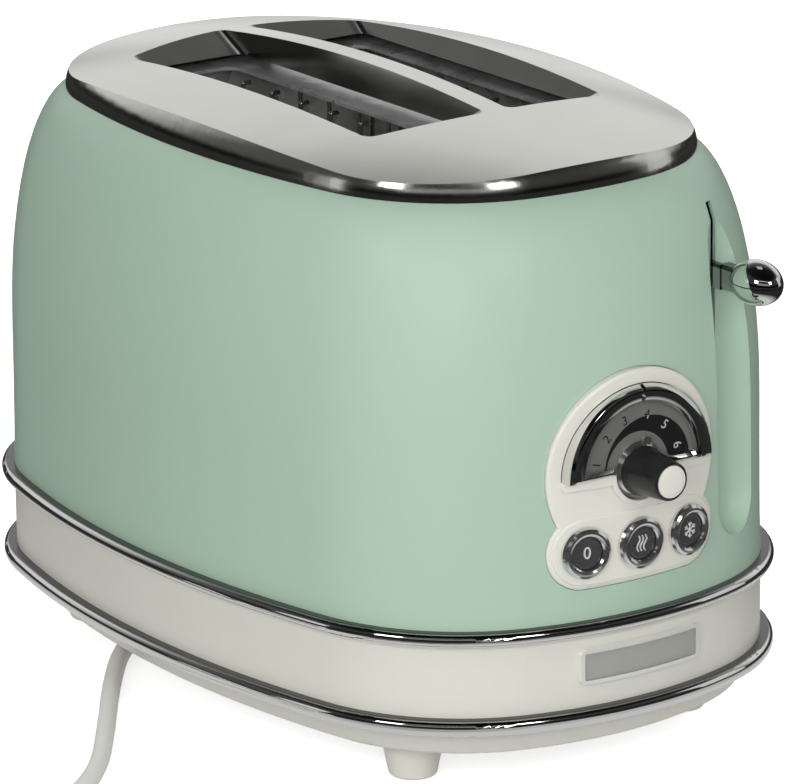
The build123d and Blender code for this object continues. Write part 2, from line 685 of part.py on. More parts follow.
def make_dial_frame():
    """Polished half-moon frame round the scale, with an index notch at the top."""
    moon = above_dial_axis(Circle(DIAL_OUTER_R) - Circle(DIAL_INNER_R))
    bars = Pos(0, 1.2) * Rectangle(2 * DIAL_OUTER_R - 2, 2.4) - Circle(BAR_INNER_R)
    frame = dial_prism(moon + bars, SCALE_X, DIAL_FRONT_X - SCALE_X)
    frame = chamfer(frame.faces().sort_by(Axis.X)[-1].edges(), 0.9)
    frame += dial_prism(moon, DIAL_SEAT_X + 1, SCALE_X - DIAL_SEAT_X - 1)
    return frame - block((DIAL_FRONT_X - 1.6, 160), (-0.8, 0.8), (DIAL_Z + DIAL_INNER_R - 1, 150))


def make_dial_scale():
    """Half-moon plate that carries the numbers, its middle raised through the frame."""
    bore = Circle(SHAFT_R + 0.6)
    hub = Circle(SHELF_INNER_R - 0.2)
    back = above_dial_axis(Circle(DIAL_OUTER_R)) + hub - bore
    face = above_dial_axis(Circle(DIAL_INNER_R)) + hub - bore
    return dial_prism(back, DIAL_SEAT_X, 1) + dial_prism(face, DIAL_SEAT_X + 1, SCALE_X - DIAL_SEAT_X - 1)


def dial_turned(profile):
    """Solid of revolution about the dial's axis from (distance along X, radius) points."""
    face = make_face(Polyline(*profile, close=True))
    solid = revolve(Plane.XY * face, Axis.X)
    return Pos(0, 0, DIAL_Z) * solid


def make_pointer_skirt():
    """Polished collar under the knob, with the pointer that shows the setting."""
    low, bore = SCALE_X + 0.3, SHAFT_R + 0.05
    profile = [(low, bore), (low, SKIRT_R), (low + 0.8, SKIRT_R)]
    profile += [(low + 1.9, SKIRT_R - 1.3), (low + 1.9, bore)]
    pointer = Pos(0, POINTER_REACH - 2.6) * RectangleRounded(3, 5.2, 0.8)
    pointer = Rot(0, 0, -POINTER_ANGLE) * pointer
    return dial_turned(profile) + dial_prism(pointer - Circle(6), low, 1.7)


def make_dial_knob():
    low, bore = SCALE_X + 2.2, SHAFT_R + 0.05
    profile = [(low, bore), (low, 8.2), (low + 1.2, 8.4), (low + 3, 7.8), (KNOB_TIP_X - 0.9, 6.5)]
    profile += [(KNOB_TIP_X - 0.2, 5.9), (KNOB_TIP_X - 0.9, 5.6), (KNOB_TIP_X - 0.9, bore)]
    return dial_turned(profile)


def make_knob_cap():
    low = KNOB_TIP_X - 0.9
    return dial_turned([(low, 0), (low, 5.5), (low + 0.5, 5.45), (KNOB_TIP_X - 0.1, 3.9), (KNOB_TIP_X, 0)])


def make_dial_shaft():
    """Spindle of the potentiometer, fixed to the knob."""
    return rod(SHAFT_R, (BOARD_X + 9.6, 0, DIAL_Z), (KNOB_TIP_X - 0.9, 0, DIAL_Z))


def make_potentiometer():
    body = rod(8, (BOARD_X + 1.6, 0, DIAL_Z), (BOARD_X + 9.5, 0, DIAL_Z))
    body += block((BOARD_X + 1.6, BOARD_X + 4), (-7, 7), (DIAL_Z - 13, DIAL_Z))
    return body


def make_button_bezels():
    """Three polished rings, each a rounded bead seated on the panel's face."""
    panel_form = Pos(END_X, 0, BUTTON_Z) * Cylinder(PANEL_FACE_R + LOBE_RISE, 60)
    profile = [(BEZEL_BORE_R, -0.6), (BEZEL_R, -0.6), (BEZEL_R - 0.1, 0.8), (8.4, 1.8), (7.6, 2.4)]
    profile += [(6.9, 2.5), (6.2, 2.2), (BEZEL_BORE_R, 1.6)]
    bead = revolve(Plane.XZ * make_face(Polyline(*profile, close=True)), Axis.Z)
    tube = extrude(Circle(BEZEL_BORE_R + BEZEL_TUBE) - Circle(BEZEL_BORE_R), -4)
    rings = []
    for index in (-1, 0, 1):
        place = button_frame(index).location
        rings.append((place * bead - panel_form) + place * tube)
    return Compound(children=rings)


def make_button(index):
    """Round push button: dished cap and the stem that works its switch."""
    profile = [(0, -1.2), (BUTTON_CAP_R, -1.2), (BUTTON_CAP_R, 1.1), (BUTTON_CAP_R - 0.7, 1.3), (0, 0.8)]
    cap = revolve(Plane.XZ * make_face(Polyline(*profile, close=True)), Axis.Z)
    frame = button_frame(index)
    lean = acos(frame.z_dir.X)
    switch_x = BOARD_X + 5.7
    depth = (frame.origin.X - switch_x) / cos(lean) - BUTTON_TRAVEL - 2.4 * tan(lean)
    stem = rod(2.4, (0, 0, -1.2), (0, 0, -depth))
    return frame.location * (cap + stem)


def make_push_switches():
    switches = []
    for index in (-1, 0, 1):
        y = (button_frame(index).origin - Vector(*button_frame(index).z_dir) * 17).Y
        body = block((BOARD_X + 1.6, BOARD_X + 4.6), (y - 3, y + 3), (BUTTON_Z - 3, BUTTON_Z + 3))
        switches.append(body + rod(1.4, (BOARD_X + 4.6, y, BUTTON_Z), (BOARD_X + 5.4, y, BUTTON_Z)))
    return Compound(children=switches)


def make_control_board():
    board = block((BOARD_X, BOARD_X + 1.6), (-32, 32), (70.5, 128))
    return fillet(board.edges().filter_by(Axis.X), 4)


def make_heat_shield():
    """Bent sheet between the toasting chamber and the controls, footed on the pan."""
    shield = block((120, 121), (-44, 33), (PAN_BOTTOM + 2.5, 150))
    return shield + block((109, 121), (-44, 33), (PAN_BOTTOM + 2.5, PAN_BOTTOM + 3.5))


# ---------------------------------------------------------------- fasteners and cord
def make_base_screws():
    """Cross-head screws up through the pan into the chassis flanges."""
    screws = []
    for sx in (-1, 1):
        for sy in (-1, 1):
            at = Pos(POST_X * sx, POST_Y * sy, PAN_BOTTOM)
            cross = Box(3.6, 0.8, 2) + Box(0.8, 3.6, 2)
            shank = rod(SCREW_R, (0, 0, 2), (0, 0, SCREW_TOP - PAN_BOTTOM))
            screw = rod(3.2, (0, 0, 0.2), (0, 0, 2.6)) + shank - cross
            screws.append(at * screw)
    return Compound(children=screws)


def make_cord_gland():
    """Tapered, ribbed strain relief that holds the cord in the wall of its bay."""
    tip_x, y, z = CORD_POINTS[0]
    length = tip_x - CORD_BAY_X[0] - BODY_X
    profile = [(0, 0), (0, 6.1), (1.6, 6.1), (1.6, 5.4), (length, 4.2), (length, 0)]
    face = make_face(Polyline(*profile, close=True))
    gland = revolve(Plane.XY * face, Axis.X)
    for rib in range(4):
        x = 6 + 5 * rib
        groove = Cylinder(9, 1.4) - Cylinder(4.5 - 0.2 * rib, 1.6) - Box(5, 20, 2)
        gland -= Pos(x, 0, 0) * Rotation(0, 90, 0) * groove
    return Pos(tip_x - length, y, z) * gland


def cord_path(points):
    """Straight runs joined by tangent arcs, each as large as its two runs allow."""
    corners = [Vector(*point) for point in points]
    radii = []
    for before, corner, after in zip(corners, corners[1:], corners[2:]):
        turn = radians((corner - before).get_angle(after - corner))
        shorter = min((corner - before).length, (after - corner).length)
        radii.append(0.45 * shorter / tan(turn / 2))
    print("cord radii", [round(radius, 1) for radius in radii])
    return FilletPolyline(*points, radius=radii)


def cord_tube(points):
    path = cord_path(points)
    tube = sweep(Plane(origin=path @ 0, z_dir=path % 0) * Circle(CORD_R), path)
    ratio = tube.volume / (pi * CORD_R**2 * path.length)
    print("cord length", round(path.length, 1), "volume ratio", round(ratio, 4))
    return tube


def make_cord():
    return Compound(children=[cord_tube(CORD_POINTS), cord_tube(TAIL_POINTS)])


def make_cord_coil():
    """Outer form of the coiled stretch: two turns side by side and one on top."""
    wide, low = 2 * CORD_R, FLOOR_Z - CORD_R
    profile = [(COIL_R - wide, low), (COIL_R + wide, low), (COIL_R + wide, low + 5)]
    profile += [(COIL_R + CORD_R, low + 12), (COIL_R - CORD_R, low + 12), (COIL_R - wide, low + 5)]
    ring = revolve(Plane.XZ * make_face(Polyline(*profile, close=True)), Axis.Z)
    return Pos(*COIL_CENTRE, 0) * ring


def plug_frame():
    """Plane at the plug's neck, its z along the plug towards the pins."""
    heading, tilt = radians(PLUG_HEADING), radians(PLUG_TILT)
    out = (cos(heading) * cos(tilt), sin(heading) * cos(tilt), sin(tilt))
    return Plane(origin=TAIL_POINTS[-1], z_dir=out)


def make_plug():
    """Moulded round mains plug lying on its side."""
    edge = PLUG_R - 0.4
    profile = [(0, 0), (4.4, 0), (5.4, 12), (8.5, 18), (13, 24), (16.2, 31), (edge, 38)]
    profile += [(edge, PLUG_LENGTH - 1.5), (edge - 1.5, PLUG_LENGTH), (0, PLUG_LENGTH)]
    body = revolve(Plane.XZ * make_face(Polyline(*profile, close=True)), Axis.Z)
    for side in (-1, 1):
        body -= Pos(side * (PLUG_R + 1.2), 0, 40) * Box(6, 50, 40)
    return plug_frame().location * body


def make_plug_pins():
    pins = []
    for side in (-1, 1):
        pin = Pos(0, side * PIN_PITCH / 2, PLUG_LENGTH + PIN_LENGTH / 2) * Cylinder(PIN_R, PIN_LENGTH)
        pins.append(plug_frame().location * fillet(pin.edges().sort_by(Axis.Z)[-1], 1.2))
    return Compound(children=pins)


# ---------------------------------------------------------------- build
def main():
    os.makedirs("parts", exist_ok=True)
    save("bottom_pan", make_bottom_pan())
    for front, sy in (("front", -1), ("rear", 1)):
        for side, sx in (("right", 1), ("left", -1)):
            save(f"foot_{front}_{side}", make_foot(sx, sy))
    save("lower_ring", make_ring(PAN_TOP, BAND_BOTTOM))
    save("upper_ring", make_ring(BAND_TOP, SHELL_BOTTOM))
    save("base_band", make_base_band())
    save("badge_plate", make_badge_plate())
    save("crumb_tray", make_crumb_tray())
    save("tray_front", make_tray_front())
    save("body_shell", make_body_shell())
    save("top_plate", make_top_plate())
    save("end_plate_right", make_end_plate(1))
    save("end_plate_left", make_end_plate(-1))
    save("side_panel_front", make_side_panel(-1))
    save("side_panel_rear", make_side_panel(1))
    save("inner_frame", make_inner_frame())
    boards = (("front", -OUTER_BOARD_Y, (1,)), ("centre", 0, (-1, 1)), ("rear", OUTER_BOARD_Y, (-1,)))
    for name, y, faces in boards:
        save(f"heater_board_{name}", make_heater_board(y))
        save(f"heater_ribbon_{name}", make_heater_ribbon(y, faces))
    for name, sy in (("front", -1), ("rear", 1)):
        save(f"bread_guide_{name}_inner", make_bread_guide(GUIDE_INNER_Y * sy, -sy))
        save(f"bread_guide_{name}_outer", make_bread_guide(GUIDE_OUTER_Y * sy, sy))
        save(f"bread_rack_{name}", make_bread_rack(sy))
    save("carriage", make_carriage())
    save("guide_rod", make_guide_rod())
    save("return_spring", make_return_spring())
    save("armature", make_armature())
    save("magnet_core", make_magnet_core())
    save("magnet_coil", make_magnet_coil())
    save("lever_arm", make_lever_arm())
    save("lever_knob", make_lever_knob())
    save("control_panel", make_control_panel())
    save("dial_frame", make_dial_frame())
    save("dial_scale", make_dial_scale())
    save("pointer_skirt", make_pointer_skirt())
    save("dial_knob", make_dial_knob())
    save("knob_cap", make_knob_cap())
    save("dial_shaft", make_dial_shaft())
    save("potentiometer", make_potentiometer())
    save("button_bezels", make_button_bezels())
    for name, index in (("stop", -1), ("reheat", 0), ("defrost", 1)):
        save(f"{name}_button", make_button(index))
    save("push_switches", make_push_switches())
    save("control_board", make_control_board())
    save("heat_shield", make_heat_shield())
    save("base_screws", make_base_screws())
    save("cord_gland", make_cord_gland(), 0)
    save("cord", make_cord(), 0)
    save("cord_coil", make_cord_coil(), 0)
    save("plug", make_plug(), 0)
    save("plug_pins", make_plug_pins(), 0)


main()
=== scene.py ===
"""Looks of a two-slot pop-up toaster: its finishes, printing, cord and studio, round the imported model.

The toaster's own frame holds throughout: +X is the end with the lever and the controls, -Y the
front side, and Z = 0 the surface that the feet stand on. The camera, the cord and the studio are
given in metres; the finishes, the dial and the button signs in millimetres.
"""

import json
from math import asin, cos, pi, radians, sin

import bpy
from mathutils import Matrix, Vector


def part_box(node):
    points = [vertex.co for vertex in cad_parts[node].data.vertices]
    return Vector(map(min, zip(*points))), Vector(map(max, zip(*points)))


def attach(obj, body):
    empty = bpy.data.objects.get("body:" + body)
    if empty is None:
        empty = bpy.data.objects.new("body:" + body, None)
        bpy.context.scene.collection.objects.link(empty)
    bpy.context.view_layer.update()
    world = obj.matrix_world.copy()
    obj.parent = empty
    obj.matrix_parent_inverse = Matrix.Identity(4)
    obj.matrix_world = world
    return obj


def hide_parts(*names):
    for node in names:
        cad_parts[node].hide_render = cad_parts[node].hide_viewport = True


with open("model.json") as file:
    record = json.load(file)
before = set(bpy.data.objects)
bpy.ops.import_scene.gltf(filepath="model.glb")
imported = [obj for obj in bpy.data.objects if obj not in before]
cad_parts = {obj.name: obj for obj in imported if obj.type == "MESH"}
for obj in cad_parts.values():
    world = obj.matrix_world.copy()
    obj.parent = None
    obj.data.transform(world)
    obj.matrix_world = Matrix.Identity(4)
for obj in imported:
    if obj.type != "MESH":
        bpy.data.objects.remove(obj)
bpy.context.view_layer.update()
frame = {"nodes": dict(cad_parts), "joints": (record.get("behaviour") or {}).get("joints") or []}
JOINTS = {joint["name"]: joint for joint in frame["joints"]}
NODES = frame["nodes"]
MM = 0.001

# ---------------------------------------------------------------- camera
CAMERA_PLACE = (1.60262, -1.11075, 0.68866)
CAMERA_AZIMUTH = 55.154
CAMERA_ELEVATION = 16.814
CAMERA_ROLL = -0.516
CAMERA_LENS = 265.73


def make_camera():
    data = bpy.data.cameras.new("camera")
    data.lens = CAMERA_LENS
    data.sensor_width = 36
    data.clip_end = 50
    camera = bpy.data.objects.new("camera", data)
    bpy.context.scene.collection.objects.link(camera)
    turn = Matrix.Rotation(radians(CAMERA_AZIMUTH), 4, "Z")
    turn = turn @ Matrix.Rotation(radians(90 - CAMERA_ELEVATION), 4, "X")
    turn = turn @ Matrix.Rotation(radians(CAMERA_ROLL), 4, "Z")
    camera.matrix_world = Matrix.Translation(CAMERA_PLACE) @ turn
    bpy.context.scene.camera = camera


# ---------------------------------------------------------------- cord
CORD_DIAMETER = 0.0064
CORD_ROUTE = [
    (-0.109, -0.022, 0.021),
    (-0.098, -0.024, 0.019),
    (-0.086, -0.034, 0.012),
    (-0.074, -0.0525, 0.0056),
    (-0.061, -0.073, 0.0033),
    (-0.0294, -0.0971, 0.0033),
    (0.004, -0.120, 0.0033),
    (0.038, -0.1445, 0.0033),
    (0.058, -0.170, 0.0033),
    (0.062, -0.196, 0.0033),
    (0.049, -0.218, 0.0033),
    (0.0226, -0.232, 0.0033),
]
CORD_TAIL = [
    (-0.0115, -0.2455, 0.0050),
    (-0.0220, -0.2450, 0.0033),
    (-0.0350, -0.2425, 0.0036),
    (-0.0470, -0.2370, 0.0075),
]
COIL_CENTRE = (0.0, -0.205)
COIL_START = -50
COIL_STEP = 20
# Degrees turned, radius and height along the coil: an outer turn, an inner one, one on top
COIL_STAGES = [(20, 0.0352, 0.0033), (280, 0.0352, 0.0033), (350, 0.0290, 0.0033),
               (620, 0.0290, 0.0033), (710, 0.0306, 0.0092), (1040, 0.0364, 0.0098),
               (1080, 0.0385, 0.0098), (1110, 0.0405, 0.0080)]


def between(stages, turned):
    """Radius and height of the coil after a number of degrees."""
    for (low, *first), (high, *last) in zip(stages, stages[1:]):
        if turned <= high:
            share = max(0.0, (turned - low) / (high - low))
            return [a + (b - a) * share for a, b in zip(first, last)]
    return list(stages[-1][1:])


def coil_points():
    points = []
    for turned in range(COIL_STEP, int(COIL_STAGES[-1][0]) + 1, COIL_STEP):
        radius, height = between(COIL_STAGES, turned)
        angle = radians(COIL_START - turned)
        points.append((COIL_CENTRE[0] + radius * cos(angle), COIL_CENTRE[1] + radius * sin(angle), height))
    return points


def make_cord():
    """The flex on one smooth line: out of its relief, under the edge and into a coil."""
    points = CORD_ROUTE + coil_points() + CORD_TAIL
    curve = bpy.data.curves.new("mains_cord", "CURVE")
    curve.dimensions = "3D"
    curve.bevel_depth = CORD_DIAMETER / 2
    curve.bevel_resolution = 5
    curve.use_fill_caps = True
    spline = curve.splines.new("NURBS")
    spline.points.add(len(points) - 1)
    for target, point in zip(spline.points, points):
        target.co = (*point, 1)
    spline.order_u = 3
    spline.use_endpoint_u = True
    spline.resolution_u = 8
    cord = bpy.data.objects.new("mains_cord", curve)
    bpy.context.scene.collection.objects.link(cord)
    curve.materials.append(white_flex())
    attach(cord, "housing")
    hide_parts("cord", "cord_coil")


# ---------------------------------------------------------------- material helpers
def new_material(name):
    """An empty node material with one shader, and its nodes and links."""
    material = bpy.data.materials.new(name)
    material.use_nodes = True
    tree = material.node_tree
    shader = tree.nodes["Principled BSDF"]
    return material, tree, shader


def place_texture(tree, scale=(1, 1, 1)):
    """Object coordinates in metres, stretched by a scale along each axis."""
    source = tree.nodes.new("ShaderNodeTexCoord")
    mapping = tree.nodes.new("ShaderNodeMapping")
    mapping.inputs["Scale"].default_value = scale
    tree.links.new(source.outputs["Object"], mapping.inputs["Vector"])
    return mapping.outputs["Vector"]


def axes(tree, vector):
    """The X, Y and Z of a vector, by their names."""
    split = tree.nodes.new("ShaderNodeSeparateXYZ")
    tree.links.new(vector, split.inputs["Vector"])
    return split.outputs


def noise(tree, vector, scale, detail=3.0, roughness=0.5):
    node = tree.nodes.new("ShaderNodeTexNoise")
    node.inputs["Scale"].default_value = scale
    node.inputs["Detail"].default_value = detail
    node.inputs["Roughness"].default_value = roughness
    tree.links.new(vector, node.inputs["Vector"])
    return node.outputs["Fac"]


def ramp(tree, factor, stops):
    """Colour ramp from (position, colour) stops; a plain number stands for a grey."""
    node = tree.nodes.new("ShaderNodeValToRGB")
    elements = node.color_ramp.elements
    while len(elements) < len(stops):
        elements.new(0.5)
    for element, (position, colour) in zip(elements, stops):
        element.position = position
        if isinstance(colour, (int, float)):
            colour = (colour, colour, colour)
        element.color = (*colour, 1)
    tree.links.new(factor, node.inputs["Fac"])
    return node.outputs["Color"]


def calculate(tree, operation, first, second=None):
    """One Math node; each operand is a socket or a number."""
    node = tree.nodes.new("ShaderNodeMath")
    node.operation = operation
    for socket, value in zip(node.inputs, (first, second)):
        if value is None:
            continue
        if isinstance(value, (int, float)):
            socket.default_value = value
        else:
            tree.links.new(value, socket)
    return node.outputs["Value"]


def rise(tree, value, start, end):
    """0 up to start, 1 from end on and even between; for steps too fine for a colour ramp."""
    node = tree.nodes.new("ShaderNodeMapRange")
    node.inputs["From Min"].default_value = start
    node.inputs["From Max"].default_value = end
    tree.links.new(value, node.inputs["Value"])
    return node.outputs["Result"]


def distance_from(tree, centre_y, centre_z):
    """Distance from a line along X, given by its Y and Z."""
    place = axes(tree, place_texture(tree))
    across = calculate(tree, "SUBTRACT", place["Y"], centre_y)
    above = calculate(tree, "SUBTRACT", place["Z"], centre_z)
    squares = calculate(tree, "ADD", calculate(tree, "MULTIPLY", across, across),
                        calculate(tree, "MULTIPLY", above, above))
    return calculate(tree, "SQRT", squares)


def bump(tree, shader, height, strength, distance):
    node = tree.nodes.new("ShaderNodeBump")
    node.inputs["Strength"].default_value = strength
    node.inputs["Distance"].default_value = distance
    tree.links.new(height, node.inputs["Height"])
    tree.links.new(node.outputs["Normal"], shader.inputs["Normal"])


def shades(colour, depth):
    """The colour a little darker and a little lighter."""
    return tuple(c * (1 - depth) for c in colour), tuple(min(1, c * (1 + depth)) for c in colour)


def mottled(name, colour, rough, metal=0.0, depth=0.03, patch=30.0, grain=0.0, grain_scale=900.0,
            rough_spread=0.05, coat=0.0, coat_rough=0.1, stretch=(1, 1, 1)):
    """A finish with slightly uneven colour and gloss, and a fine grain in its surface."""
    material, tree, shader = new_material(name)
    shader.inputs["Metallic"].default_value = metal
    shader.inputs["Coat Weight"].default_value = coat
    shader.inputs["Coat Roughness"].default_value = coat_rough
    vector = place_texture(tree, stretch)
    cloud = noise(tree, vector, patch, 4.0)
    dark, light = shades(colour, depth)
    tree.links.new(ramp(tree, cloud, [(0.3, dark), (0.7, light)]), shader.inputs["Base Color"])
    gloss = ramp(tree, noise(tree, vector, patch * 3, 2.0),
                 [(0.3, max(0.02, rough - rough_spread)), (0.7, rough + rough_spread)])
    tree.links.new(gloss, shader.inputs["Roughness"])
    if grain:
        bump(tree, shader, noise(tree, vector, grain_scale, 2.0), grain, 0.0002)
    return material


# ---------------------------------------------------------------- finishes
MINT = (0.435, 0.590, 0.468)
CREAM = (0.740, 0.728, 0.660)
PANEL_CREAM = (0.815, 0.800, 0.725)
CHROME = (0.80, 0.80, 0.79)
# Widths of the badge's raised border and of the joint line round the lever knob
BADGE_BORDER = 1.35
KNOB_JOINT = 0.35
# Depths under the top of a ring and of the lever arm where the painted shade on the ring's seat and the
# painted dark reflection on the arm's edge begin and where they are full
RING_PAINTED_SHADE = (0.4, 0.1)
ARM_PAINTED_REFLECTION = (1.5, 1.2)
# Crest of the dial frame's face, in from its outer edge, and how sharply the face is crowned
FRAME_CREST = 3.0
FRAME_CROWN = 130


def dress(piece, material):
    piece.data.materials.clear()
    piece.data.materials.append(material)


def mint_enamel():
    """Smooth sprayed enamel with a faint orange peel."""
    return mottled("mint_enamel", MINT, 0.45, depth=0.012, patch=9, grain=0.05, grain_scale=420,
                   rough_spread=0.02, coat=0.12, coat_rough=0.22)


def cream_plastic(name="cream_plastic", colour=CREAM):
    return mottled(name, colour, 0.38, depth=0.012, patch=22, grain=0.04, grain_scale=1500,
                   rough_spread=0.03, coat=0.15, coat_rough=0.15)


def panel_plastic():
    """The panel's plastic is moulded glossier than the base."""
    return mottled("panel_plastic", PANEL_CREAM, 0.34, depth=0.012, patch=22, grain=0.04,
                   grain_scale=1500, rough_spread=0.03, coat=0.55, coat_rough=0.14)


def polished_chrome(name="polished_chrome", rough=0.07, metal=1.0):
    return mottled(name, CHROME, rough, metal=metal, depth=0.02, patch=60, rough_spread=0.025)


def plated_plastic():
    """Bright plating on moulded parts, softer than the polished steel."""
    return polished_chrome("plated_plastic", 0.13, 0.95)


def two_metals(name, mask_of, bright, dull):
    """Metal with two looks, each a base colour, metallic share and roughness; the mask picks the second."""
    material, tree, shader = new_material(name)
    mask = mask_of(tree)
    for socket, first, second in zip(("Base Color", "Metallic", "Roughness"), bright, dull):
        tree.links.new(ramp(tree, mask, [(0.0, first), (1.0, second)]), shader.inputs[socket])
    return material


def ring_chrome():
    """Chrome of the rings, with painted shade on the seat of their flat top beside the wall."""
    tops = (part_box("lower_ring")[1].z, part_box("upper_ring")[1].z)

    # Mask of the painted shade: the seat on each ring's flat top, beside the wall.
    def seat(tree):
        height = axes(tree, place_texture(tree))["Z"]
        starts, ends = RING_PAINTED_SHADE
        lower, upper = [rise(tree, height, top - starts * MM, top - ends * MM) for top in tops]
        below = calculate(tree, "LESS_THAN", height, sum(tops) / 2)
        return calculate(tree, "MAXIMUM", calculate(tree, "MULTIPLY", lower, below), upper)

    # The second look, dark and dull, is painted shade on the seat.
    return two_metals("ring_chrome", seat, (CHROME, 1.0, 0.07), (0.08, 0.8, 0.25))


def badge_silver():
    """Bright raised border round a matt silver field."""
    low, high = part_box("badge_plate")

    def field(tree):
        place = axes(tree, place_texture(tree))
        inside = []
        for axis, at in (("Y", 1), ("Z", 2)):
            middle = (low[at] + high[at]) / 2
            half = (high[at] - low[at]) / 2 - BADGE_BORDER * MM
            away = calculate(tree, "ABSOLUTE", calculate(tree, "SUBTRACT", place[axis], middle))
            inside.append(calculate(tree, "LESS_THAN", away, half))
        return calculate(tree, "MULTIPLY", inside[0], inside[1])

    border, inner = (0.88, 0.88, 0.85), (0.50, 0.50, 0.465)
    return two_metals("badge_silver", field, (border, 0.35, 0.2), (inner, 0.35, 0.45))


def knob_chrome():
    """Chrome of the lever knob, with the joint line of its two halves."""
    low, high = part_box("lever_knob")
    middle = (low.z + high.z) / 2

    def joint(tree):
        height = axes(tree, place_texture(tree))["Z"]
        away = calculate(tree, "ABSOLUTE", calculate(tree, "SUBTRACT", height, middle))
        return calculate(tree, "LESS_THAN", away, KNOB_JOINT * MM / 2)

    return two_metals("knob_chrome", joint, (CHROME, 1.0, 0.05), (0.10, 1.0, 0.30))


def frame_chrome():
    """Chrome of the dial frame, its narrow face crowned like a drawn bead."""
    low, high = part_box("dial_frame")
    crest = (high.y - low.y) / 2 - FRAME_CREST * MM
    material, tree, shader = new_material("frame_chrome")
    vector = place_texture(tree)
    from_crest = calculate(tree, "SUBTRACT", crest, distance_from(tree, (low.y + high.y) / 2, low.z))
    crown = calculate(tree, "MULTIPLY", calculate(tree, "MULTIPLY", from_crest, from_crest), -FRAME_CROWN)
    shader.inputs["Base Color"].default_value = (*CHROME, 1)
    shader.inputs["Metallic"].default_value = 1
    tree.links.new(ramp(tree, noise(tree, vector, 180, 2.0), [(0.3, 0.05), (0.7, 0.10)]),
                   shader.inputs["Roughness"])
    bump(tree, shader, crown, 1.0, 1.0)
    return material


def arm_chrome():
    """Chrome of the lever arm, with a painted dark reflection along its rolled top edge."""
    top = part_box("lever_arm")[1].z

    # Mask of the painted dark reflection along the arm's rolled top edge.
    def edge(tree):
        starts, ends = ARM_PAINTED_REFLECTION
        return rise(tree, axes(tree, place_texture(tree))["Z"], top - starts * MM, top - ends * MM)

    # The second look, dark and dull, is a painted dark reflection on the top edge.
    return two_metals("arm_chrome", edge, (CHROME, 1.0, 0.06), (0.12, 1.0, 0.22))


def top_steel():
    """Polished steel sheet, very slightly hazed by its forming."""
    return mottled("top_steel", (0.77, 0.765, 0.715), 0.16, metal=1, depth=0.015, patch=14,
                   rough_spread=0.03, grain=0.02, grain_scale=300)


def galvanised_sheet():
    """Zinc-coated sheet with its crystal spangle."""
    material, tree, shader = new_material("galvanised_sheet")
    shader.inputs["Metallic"].default_value = 0.6
    vector = place_texture(tree)
    cells = tree.nodes.new("ShaderNodeTexVoronoi")
    cells.inputs["Scale"].default_value = 160
    tree.links.new(vector, cells.inputs["Vector"])
    split = tree.nodes.new("ShaderNodeSeparateColor")
    tree.links.new(cells.outputs["Color"], split.inputs["Color"])
    spangle = split.outputs["Red"]
    tree.links.new(ramp(tree, spangle, [(0.0, (0.42, 0.43, 0.43)), (1.0, (0.62, 0.63, 0.62))]),
                   shader.inputs["Base Color"])
    tree.links.new(ramp(tree, spangle, [(0.0, 0.26), (1.0, 0.42)]), shader.inputs["Roughness"])
    bump(tree, shader, noise(tree, vector, 500), 0.06, 0.0002)
    return material


def drawn_wire():
    return mottled("drawn_wire", (0.58, 0.58, 0.57), 0.25, metal=1, depth=0.08, patch=90)


def dark_steel():
    return mottled("dark_steel", (0.20, 0.20, 0.21), 0.45, metal=1, depth=0.15, patch=200, grain=0.2)


def black_plastic():
    return mottled("black_plastic", (0.016, 0.016, 0.017), 0.30, depth=0.15, patch=60, grain=0.06,
                   grain_scale=2500, rough_spread=0.05)


def grey_cap():
    """Dark grey moulded push-button cap."""
    return mottled("grey_cap", (0.055, 0.057, 0.055), 0.30, depth=0.1, patch=90, grain=0.05,
                   grain_scale=3000, coat=0.3, coat_rough=0.1)


def white_flex():
    return mottled("white_flex", (0.95, 0.94, 0.90), 0.42, depth=0.015, patch=70, grain=0.08,
                   grain_scale=1200)


def sheet_mica():
    return mottled("sheet_mica", (0.44, 0.41, 0.36), 0.5, depth=0.2, patch=120, grain=0.15,
                   grain_scale=300, stretch=(1, 1, 3))


def oxidised_ribbon():
    return mottled("oxidised_ribbon", (0.24, 0.21, 0.19), 0.5, metal=1, depth=0.3, patch=150)


def copper_winding():
    """Enamelled copper wire, wound in level layers."""
    material, tree, shader = new_material("copper_winding")
    shader.inputs["Metallic"].default_value = 1
    shader.inputs["Roughness"].default_value = 0.3
    turns = tree.nodes.new("ShaderNodeTexWave")
    turns.bands_direction = "Z"
    turns.inputs["Scale"].default_value = 900
    tree.links.new(place_texture(tree), turns.inputs["Vector"])
    tree.links.new(ramp(tree, turns.outputs["Fac"], [(0.0, (0.30, 0.13, 0.06)), (1.0, (0.62, 0.29, 0.15))]),
                   shader.inputs["Base Color"])
    bump(tree, shader, turns.outputs["Fac"], 0.5, 0.0002)
    return material


def circuit_board():
    return mottled("circuit_board", (0.03, 0.13, 0.07), 0.35, depth=0.3, patch=260, coat=0.4)


def nickel_pin():
    return mottled("nickel_pin", (0.68, 0.66, 0.60), 0.16, metal=1, depth=0.04, patch=150)


